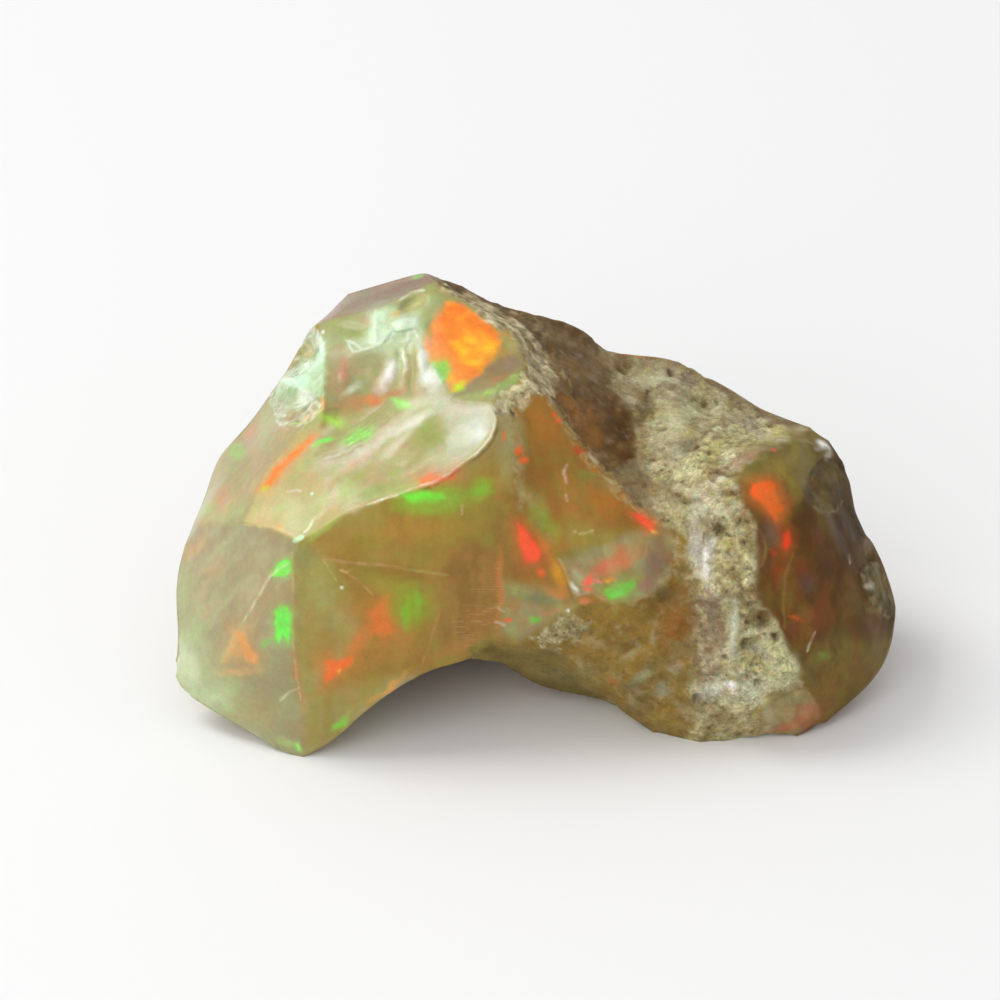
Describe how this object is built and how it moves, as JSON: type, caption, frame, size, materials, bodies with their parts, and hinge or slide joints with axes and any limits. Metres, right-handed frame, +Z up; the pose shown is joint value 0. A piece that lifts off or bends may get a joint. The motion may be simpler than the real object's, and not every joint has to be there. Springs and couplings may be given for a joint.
{
  "type": "rough opal",
  "caption": "Broken lump of rough precious opal with honey-green glassy faces, flashes of colour and a crust of pale porous rock, resting on a level underside.",
  "frame": {"origin": "on the surface that the stone rests on, under the middle of the stone's bounding box", "axes": "+Z up, +X along the stone's length, from the glassy green block towards the brown end, -Y towards the face that the picture shows"},
  "size_m": [0.0342, 0.0186, 0.0182],
  "materials": {
    "opal": "glassy translucent opal with flashes of colour, pale porous rock in the seams and on top"
  },
  "bodies": {
    "root": {"rough_opal": "opal"}
  },
  "joints": []
}
